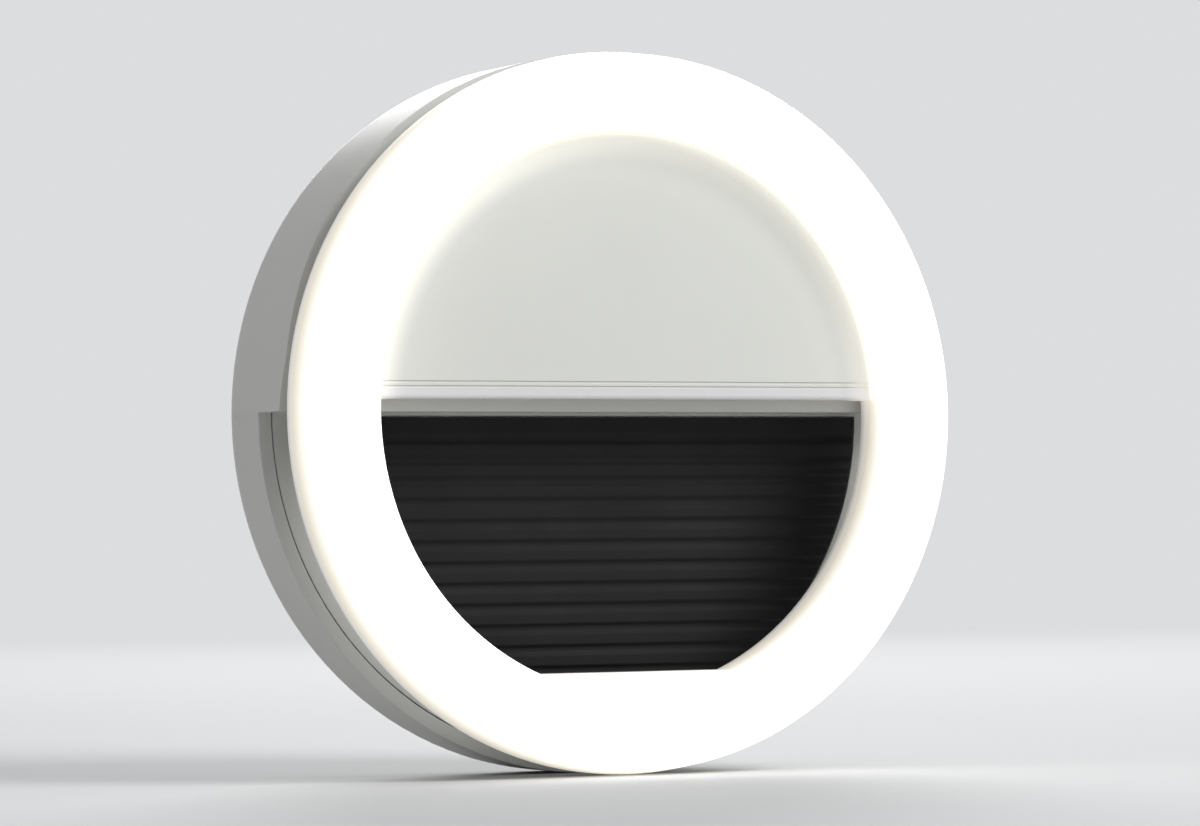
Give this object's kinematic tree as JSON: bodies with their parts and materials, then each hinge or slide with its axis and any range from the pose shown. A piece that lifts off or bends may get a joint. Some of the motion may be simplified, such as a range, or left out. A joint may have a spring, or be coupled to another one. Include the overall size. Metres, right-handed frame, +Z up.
{
  "type": "clip-on ring light",
  "caption": "Round battery ring light with an opal glowing ring, a half-round panel in its hole and a sprung drum-shaped jaw behind it that clips over the edge of a phone.",
  "frame": {"origin": "centre of the ring, on the plane of the ring's rear face, where the glass of the phone lies", "axes": "+Z up, light shines towards -Y, +X to the right as seen from the front"},
  "size_m": [0.0852, 0.0252, 0.0852],
  "materials": {
    "diffuser": "opal, lit from inside",
    "shell_white": "fine satin moulding",
    "panel_white": "smooth satin gloss",
    "pad_rubber": "soft matte silicone",
    "steel": "drawn and polished",
    "spring_steel": "drawn spring wire",
    "screw_steel": "zinc plated",
    "socket_steel": "tin plated sheet",
    "lamp_board": "white solder mask",
    "lamp": "white package with a yellow face",
    "resistor": "matte black",
    "board_green": "green solder mask",
    "chip_black": "moulded epoxy",
    "can": "drawn sleeve",
    "connector": "natural nylon",
    "indicator": "clear cast resin",
    "clear": "clear moulding",
    "switch_black": "matte black",
    "tongue_black": "matte black with contacts",
    "battery_foil": "crimped foil pouch",
    "tape": "foam tape",
    "lead_red": "insulated wire",
    "lead_black": "insulated wire",
    "lead_white": "insulated wire"
  },
  "bodies": {
    "light_head": {"diffuser": "diffuser", "ring_rear_shell": "shell_white", "front_pad": "pad_rubber", "led_board": "lamp_board", "led_chips": "lamp", "led_resistors": "resistor", "front_panel": "panel_white", "panel_screws": "screw_steel", "hinge_pin": "steel", "spring_left": "spring_steel", "spring_right": "spring_steel", "led_lead_front": "lead_white"},
    "rear_jaw": {"jaw_shell": "shell_white", "jaw_plate": "shell_white", "jaw_pad": "pad_rubber", "jaw_screws": "screw_steel", "control_board": "board_green", "board_screws": "screw_steel", "usb_socket": "socket_steel", "usb_tongue": "tongue_black", "board_chips": "chip_black", "board_capacitor": "can", "battery_connector": "connector", "indicator_led": "indicator", "light_pipe": "clear", "tact_switch": "switch_black", "battery_cell": "battery_foil", "battery_tape": "tape", "battery_lead_red": "lead_red", "battery_lead_black": "lead_black", "led_lead_rear": "lead_white"},
    "power_button": {"power_button": "shell_white", "switch_plunger": "switch_black"}
  },
  "joints": [
    {"name": "jaw_hinge", "type": "hinge", "parent": "light_head", "child": "rear_jaw", "pos_m": [0, 0.003, 0.0065], "axis": [1, 0, 0], "range_deg": [-8.5, 6.5], "stiffness_Nm_per_rad": 0.1, "springref_deg": -60.16, "deforming": ["spring_left", "spring_right"]},
    {"name": "button_press", "type": "slide", "parent": "rear_jaw", "child": "power_button", "axis": [0, -1, 0], "range_m": [0, 0.0005], "stiffness_N_per_m": 600, "springref_m": -0.0008}
  ]
}
